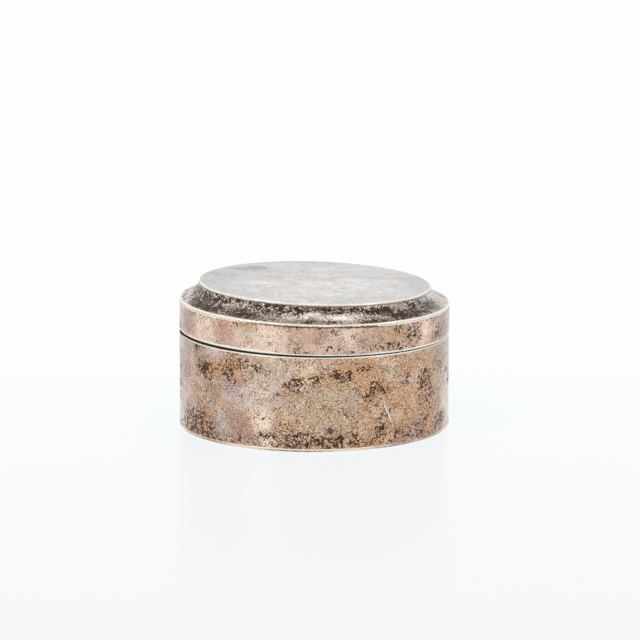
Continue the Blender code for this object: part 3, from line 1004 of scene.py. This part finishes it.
def lay_marks(piece, name, marks, radius, level=0.0, slope=0.0, change=write_map):
    """Writes one map round a piece: soft oval marks, laid over each other."""
    places = vertex_places(piece.data)
    angle = np.degrees(np.arctan2(places[:, 0], -places[:, 1]))
    height = (places[:, 2] - level + slope * places[:, 0]) / MM
    clear = np.ones(len(places), np.float32)
    for mark_angle, mark_height, half_width, half_height, strength in marks:
        apart = (angle - mark_angle + 180.0) % 360.0 - 180.0
        off = (np.radians(apart) * radius / MM / half_width) ** 2 + ((height - mark_height) / half_height) ** 2
        clear *= 1.0 - soft_oval(off, strength)
    change(piece.data, name.lower(), 1.0 - clear)


def lay_tones(piece, marks, where, strengths, seed, *strewing, sides=()):
    """Writes the map of every tone: its own marks, and strewn ones on the sides that no view fixes."""
    for number, tone in enumerate(TONES):
        strewn_marks = scattered(seed + number, *strewing, strengths[tone], *sides)
        lay_marks(piece, tone, marks.get(tone, []) + strewn_marks, *where)


def lay_spots(piece, name, spots):
    """Writes one map on a flat piece."""
    places = vertex_places(piece.data) / MM
    clear = np.ones(len(places), np.float32)
    for x, y, half_width, half_depth, strength in spots:
        off = ((places[:, 0] - x) / half_width) ** 2 + ((places[:, 1] - y) / half_depth) ** 2
        clear *= 1.0 - soft_oval(off, strength)
    write_map(piece.data, name.lower(), 1.0 - clear)


def finish_piece(piece, body, node):
    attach(piece, body)
    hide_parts(node)


# The pieces

def make_drum():
    silver = aged_silver("drum_silver", {}, everywhere=0.12, grain=1.7, specks=0.44, speck_share=0.85)
    corners = [
        Corner(0.12, 0.22, 1.0, 0.0, 0.35, 0.55),
        Corner(0.05, 0.05, 0.0, 0.35),
        Corner(0.05, 0.05, 0.0, 0.6),
        Corner(0.15, 0.2, 0.0, 0.9),
    ]
    drum = turned_piece(
        "drum", band(DRUM_RADIUS, DRUM_SHEET, DRUM_FOOT, RIM_HEIGHT, corners), True, silver,
        wear=0.9, dents=0.07 * MM, dent_size=13 * MM, seed=1.3,
        lean=RIM_SLOPE, lean_from=DRUM_FOOT, lean_to=RIM_HEIGHT,
    )
    lay_tones(drum, DRUM_MARKS, (DRUM_RADIUS,), BACK_TONES, 40, 14, 2, 30, 7.5)
    back = scattered(50, 60, 1, 30, 3.6, 0.8) + scattered(51, 26, 1, 5, 4.0, 0.85)
    lay_marks(drum, "tarnish", DRUM_MARKS["tarnish"] + back, DRUM_RADIUS)
    lay_marks(drum, "rub", DRUM_MARKS["rub"], DRUM_RADIUS)
    # Beside the seam the rim's bright edge is taken off and its top edge darkened: stains and painted shade of the
    # gap.
    lay_marks(drum, "rub", RIM_STAINS_AND_SHADE, DRUM_RADIUS, slope=RIM_SLOPE, change=wipe_map)
    lay_marks(drum, "grime", RIM_STAINS_AND_SHADE, DRUM_RADIUS, slope=RIM_SLOPE)
    finish_piece(drum, "box", "body_wall")


def make_plate():
    # The plate's darker ground is tarnish that also paints a shade line along the foot.
    silver = aged_silver(
        "plate_silver", {"Ground": (0.48, 0.34, 0.23), "Pale": (0.62, 0.50, 0.38)}, everywhere=0.0, specks=0.2,
        rubbed_highlight=(0.92, 0.80, 0.66),
    )
    corners = [
        Corner(0.0, 0.0),
        Corner(0.12, 0.2, 0.9, 0.0, 0.36, 0.5),
        Corner(0.12, 0.2, 0.9, 0.0, 0.5, 0.6),
    ]
    rows = disc([(0.0, PLATE_SHEET), (PLATE_RADIUS, PLATE_SHEET)], 0.0, corners)
    plate = turned_piece("base", rows, False, silver, wear=1.0, seed=2.1)
    for number, tone in enumerate(TONES):
        lay_spots(plate, tone, strewn(60 + number, 16, 44, 11, 0.7 * BACK_TONES[tone]))
    lay_spots(plate, "tarnish", strewn(66, 40, 44, 6, 0.7))
    lay_marks(plate, "rub", FOOT_WIPES, PLATE_RADIUS, change=wipe_map)
    # A painted contact shadow along the lower edge of the foot at the front.
    lay_marks(plate, "grime", FOOT_CONTACT_SHADOW, PLATE_RADIUS)
    wipe_map(plate.data, "grime", within_radius(plate.data, PLATE_RADIUS - 0.5 * MM))
    finish_piece(plate, "box", "base_plate")


def make_collar():
    silver = aged_silver(
        "collar_silver", {"Ground": (0.66, 0.58, 0.48), "Gold": (0.62, 0.46, 0.28)},
        everywhere=-0.05, grain=0.5, specks=0.3, speck_share=0.4,
    )
    edge, foot = Corner(0.25, 0.33, 0.9, 0.0, 0.4, 0.6), Corner(0.05, 0.05, 0.0, 0.5)
    low, high = RIM_HEIGHT - COLLAR_DEPTH, RIM_HEIGHT + COLLAR_RISE
    rows = band(COLLAR_RADIUS, COLLAR_SHEET, low, high, [edge, foot, foot, edge])
    collar = turned_piece("collar", rows, True, silver, wear=0.8, dents=0.04 * MM, seed=3.7, lean=RIM_SLOPE)
    full_turn = (0, 360)
    lay_tones(collar, {}, (COLLAR_RADIUS,), dict.fromkeys(TONES, 0.5), 70, 14, 30, 36, 6, sides=full_turn)
    lay_marks(collar, "tarnish", scattered(76, 24, 30, 33, 4, 0.7, *full_turn), COLLAR_RADIUS)
    # A dark ring round the collar at the rim's height: dirt in the seam and painted shade in the gap under the lid.
    lay_marks(collar, "grime", COLLAR_SEAM_DIRT_AND_SHADE, COLLAR_RADIUS, slope=RIM_SLOPE)
    wipe_map(collar.data, "grime", within_radius(collar.data, COLLAR_RADIUS - COLLAR_SHEET / 2))
    finish_piece(collar, "box", "inner_collar")


def make_skirt():
    silver = aged_silver(
        "skirt_silver",
        {
            "Ground": (0.565, 0.375, 0.28),
            "Pale": (0.97, 0.755, 0.615),
            "Rose": (0.49, 0.305, 0.245),
            "Gold": (0.53, 0.335, 0.205),
            "Olive": (0.52, 0.41, 0.28),
            "Lilac": (0.72, 0.60, 0.60),
        },
        everywhere=0.08, fleck_size=1.1 * MM, grain=1.15, specks=0.34, rubbed_highlight=(1.0, 0.97, 0.91),
    )
    corners = [
        Corner(0.08, 0.22, 0.9, 0.75, 0.04, 0.6),
        Corner(0.12, 0.2, 1.0, 0.0, 0.5, 0.8),
        Corner(0.15, 0.2, 0.6, 0.0, 0.2, 0.3),
        Corner(0.05, 0.05, 0.0, 0.4),
    ]
    skirt = turned_piece(
        "skirt", band(LID_RADIUS, LID_SHEET, 0.0, COVE_SEAT, corners), True, silver,
        wear=0.9, side_wear=1.2, dents=0.06 * MM, dent_size=11 * MM, seed=4.9, **LID_SEATING,
    )
    lay_tones(skirt, SKIRT_MARKS, ON_LID, BACK_TONES, 80, 12, 0, 9, 6)
    lay_marks(skirt, "tarnish", SKIRT_MARKS["tarnish"] + scattered(86, 44, 0, 9, 3, 0.75), *ON_LID)
    lay_marks(skirt, "rub", SKIRT_MARKS["rub"], *ON_LID)
    lay_marks(skirt, "grime", SKIRT_WIPES, *ON_LID, wipe_map)
    finish_piece(skirt, "lid", "lid_skirt")


def make_cove():
    silver = aged_silver(
        "cove_silver",
        {
            "Ground": (0.92, 0.745, 0.62),
            "Pale": (0.97, 0.91, 0.84),
            "Rose": (0.52, 0.31, 0.245),
            "Gold": (0.70, 0.48, 0.28),
            "Lilac": (0.73, 0.695, 0.72),
            "Olive": (0.50, 0.44, 0.34),
            "Soot": (0.038, 0.024, 0.018),
        },
        stained=-0.1, everywhere=0.31, fleck_size=1.45 * MM, fleck=(0.022, 0.010, 0.006), rust=(0.095, 0.045, 0.026),
        halo=(0.26, 0.19, 0.15), halo_share=0.25, grit=0.6 * MM, grain=2.4, specks=0.54, speck_share=0.85,
        pale_grain=(0.97, 0.90, 0.82), rubbed_highlight=(1.0, 0.93, 0.80), soot_calm=0.1, roughness=0.22, coat=0.15,
    )
    # The inner face is the outer one moved in and down by about a sheet, and meets the level seat in a bend
    inwards, down, seat_width, bend_width = 0.35 * MM, 0.48 * MM, 1.2 * MM, 1.6 * MM
    shoulder, seat = (LID_RADIUS, SHOULDER), (LID_RADIUS, COVE_SEAT)
    crest = (LID_RADIUS - COVE_INSET, COVE_TOP + SEAM / 2)
    face = arc_between(crest, shoulder, -COVE_SAG)
    under = [(r - inwards, h - down) for r, h in reversed(face) if r - inwards < LID_RADIUS - bend_width]
    inside = [(LID_RADIUS - seat_width, COVE_SEAT)] + under
    rows = section(
        [
            Run(face),
            Run([shoulder, seat]),
            Run([seat, inside[0]], 1.0, INSIDE_STEP),
            Run(inside, 1.0, INSIDE_STEP),
            Run([inside[-1], crest]),
        ],
        [
            Corner(0.04, 0.04, 0.0, 0.5),
            Corner(0.2, 0.4, 1.0, 0.0, 0.45, 0.5),
            Corner(0.12, 0.04, 0.0, 0.3),
            Corner(0.1, 0.1, 0.0, 0.4),
            Corner(0.03, 0.03, 0.0, 0.3),
        ],
    )
    cove = turned_piece(
        "cove", rows, True, silver, wear=1.0, side_wear=1.2, dents=0.06 * MM, dent_size=9 * MM, seed=5.3,
        lean=TOP_SLOPE, lean_from=SHOULDER, lean_to=COVE_TOP, **LID_SEATING,
    )
    lay_tones(cove, COVE_MARKS, ON_LID, dict.fromkeys(TONES, 0.8), 90, 26, 10.5, 14.5, 5, sides=(98, 262))
    back = scattered(97, 54, 11, 14.8, 4, 0.9, 100, 260)
    lay_marks(cove, "tarnish", COVE_MARKS["tarnish"] + back, *ON_LID)
    lay_marks(cove, "rub", COVE_MARKS["rub"], *ON_LID)
    finish_piece(cove, "lid", "lid_cove")


def make_top():
    silver = aged_silver(
        "top_silver",
        {
            "Ground": (0.73, 0.715, 0.70),
            # The pale grey paints the top's brighter middle, and the darker grey below its darker reflection near the
            # rim.
            "Pale": (0.88, 0.865, 0.85),
            "Rose": (0.40, 0.24, 0.19),
            "Gold": (0.72, 0.66, 0.56),
            "Lilac": (0.76, 0.75, 0.76),
            "Olive": (0.74, 0.73, 0.68),
            "Soot": (0.56, 0.54, 0.53),
        },
        stained=-0.45, everywhere=-0.05, fleck=(0.24, 0.215, 0.19), rust=(0.34, 0.30, 0.26), halo=(0.55, 0.52, 0.49),
        grit=0.7 * MM, grain=1.2, specks=0.26, speck_share=0.5, pale_grain=(0.86, 0.85, 0.83),
        dark_grain=(0.35, 0.33, 0.31), scuff=(0.52, 0.50, 0.48), scuffs=1.0,
    )
    # A slight hollow, as (share of the radius, depth)
    high = TOP_SEAT + TOP_SHEET
    hollow = ((0.0, 0.12 * MM), (0.5, 0.1 * MM), (0.85, 0.04 * MM), (1.0, 0.0))
    corners = [
        Corner(0.0, 0.0),
        Corner(0.25, 0.35, 1.0, 0.0, 0.34, 0.46),
        Corner(0.12, 0.12, 0.0, 0.45),
    ]
    upper = [(TOP_RADIUS * share, high - depth) for share, depth in hollow]
    rows = disc(upper, TOP_SEAT - SEAM / 2, corners, 1.0, 2 * FLAT_STEP)
    top = turned_piece("top", rows, False, silver, wear=0.7, seed=6.1, lean=TOP_SLOPE, **LID_SEATING)
    for number, tone in enumerate(TONES):
        spots = [] if tone == "Rose" else strewn(100 + number, 10, 38, 9, 0.6)
        lay_spots(top, tone, spots + TOP_SPOTS.get(tone, []))
    lay_marks(top, "Rose", TOP_EDGE_ROSE, TOP_RADIUS, LID_EDGE_LEVEL, LID_SLOPE + TOP_SLOPE)
    lay_spots(top, "tarnish", strewn(106, 8, 38, 4, 0.3) + TOP_SPOTS["tarnish"])
    finish_piece(top, "lid", "lid_top")


# Studio

TABLE_EDGE = 76 * MM
TABLE_LEVEL = -0.02 * MM
TABLE_REACH = 1.6
BOX_MIDDLE = (0.0, 0.0, 0.02)


def make_table_finish():
    """Pale gloss table: its shade keeps the box's shadow, its sheen a faint reflection, and it is clear from below."""
    material = bpy.data.materials.new("table_white")
    material.use_nodes = True
    tree = material.node_tree
    shader = tree.nodes["Principled BSDF"]
    shader.inputs["Base Color"].default_value = (0.08, 0.05, 0.03, 1.0)
    shader.inputs["Roughness"].default_value = 0.2
    shader.inputs["Specular IOR Level"].default_value = 0.015
    path = put(tree, "ShaderNodeLightPath").outputs
    seen = larger(tree, path["Is Camera Ray"], path["Is Transmission Ray"])
    shown = tint(tree, seen, (0.0, 0.0, 0.0), (0.795, 0.838, 0.864))
    shown = tint(tree, path["Is Glossy Ray"], shown, (0.98, 0.98, 0.98))
    glow = put(tree, "ShaderNodeEmission", {"Color": shown, "Strength": 1.0})
    both = put(tree, "ShaderNodeAddShader", {0: shader.outputs[0], 1: glow.outputs[0]})
    clear = put(tree, "ShaderNodeBsdfTransparent")
    under = put(tree, "ShaderNodeNewGeometry").outputs["Backfacing"]
    shown = put(tree, "ShaderNodeMixShader", {0: under, 1: both.outputs[0], 2: clear.outputs[0]})
    tree.links.new(shown.outputs[0], tree.nodes["Material Output"].inputs["Surface"])
    return material


def make_table():
    mesh = bpy.data.meshes.new("table")
    corners = [(x, y, TABLE_LEVEL) for y in (-TABLE_REACH, TABLE_EDGE) for x in (-TABLE_REACH, TABLE_REACH)]
    mesh.from_pydata(corners, [], [(0, 1, 3, 2)])
    table = bpy.data.objects.new("table", mesh)
    bpy.context.scene.collection.objects.link(table)
    mesh.materials.append(make_table_finish())


def dome_way(rise):
    """The way to a point of the dome over the box, by its rise in degrees: 0 is towards the camera, 180 behind."""
    return (0.0, -math.cos(math.radians(rise)), math.sin(math.radians(rise)))


def make_surroundings():
    """The white tent that shows in the metal: brighter low in front, two dark openings overhead, plain behind."""
    world = bpy.data.worlds.new("white_studio")
    bpy.context.scene.world = world
    world.use_nodes = True
    tree = world.node_tree
    for node in list(tree.nodes):
        tree.nodes.remove(node)
    way = put(tree, "ShaderNodeTexCoord").outputs["Generated"]

    def patch(rise, inner, outer):
        inputs = {0: way, 1: dome_way(rise)}
        near = put(tree, "ShaderNodeVectorMath", inputs, operation="DOT_PRODUCT").outputs["Value"]
        return ease(tree, near, math.cos(math.radians(outer)), math.cos(math.radians(inner)))

    light = tint(tree, patch(25, 12, 30), (0.92, 0.92, 0.92), (1.15, 1.15, 1.14))
    light = tint(tree, patch(62, 8, 20), light, (0.36, 0.36, 0.37))
    light = tint(tree, patch(122, 4, 14), light, (0.45, 0.45, 0.47))
    camera = put(tree, "ShaderNodeLightPath").outputs["Is Camera Ray"]
    light = tint(tree, camera, light, (0.985, 0.985, 0.985))
    background = put(tree, "ShaderNodeBackground", {"Color": light, "Strength": 1.0})
    output = put(tree, "ShaderNodeOutputWorld")
    tree.links.new(background.outputs[0], output.inputs["Surface"])


def make_lamp(name, place, aim, size, power):
    data = bpy.data.lights.new(name, "AREA")
    data.shape = "DISK"
    data.size = size
    data.energy = power
    lamp = bpy.data.objects.new(name, data)
    lamp.location = place
    way = np.array(aim) - np.array(place)
    lamp.rotation_euler = (math.atan2(math.hypot(way[0], way[1]), -way[2]), 0.0, math.atan2(-way[0], way[1]))
    bpy.context.scene.collection.objects.link(lamp)


def make_camera():
    """The photo's view, from a fit to the circles of foot, rim, shoulder and top."""
    data = bpy.data.cameras.new("camera")
    data.sensor_width = 36.0
    data.lens = 203.46
    camera = bpy.data.objects.new("camera", data)
    camera.location = (0.0, -1.1839, 0.2714)
    camera.rotation_euler = (math.radians(78.685), 0.0, math.radians(-0.095))
    bpy.context.scene.collection.objects.link(camera)
    bpy.context.scene.camera = camera


make_camera()
make_table()
make_surroundings()
make_lamp("left_softbox", (-0.9, -0.7, 0.9), BOX_MIDDLE, 0.7, 5.0)
make_lamp("right_softbox", (0.9, -0.4, 0.8), BOX_MIDDLE, 0.7, 2.5)

make_plate()
make_drum()
make_collar()
make_skirt()
make_cove()
make_top()

bpy.context.scene.view_settings.view_transform = "Standard"
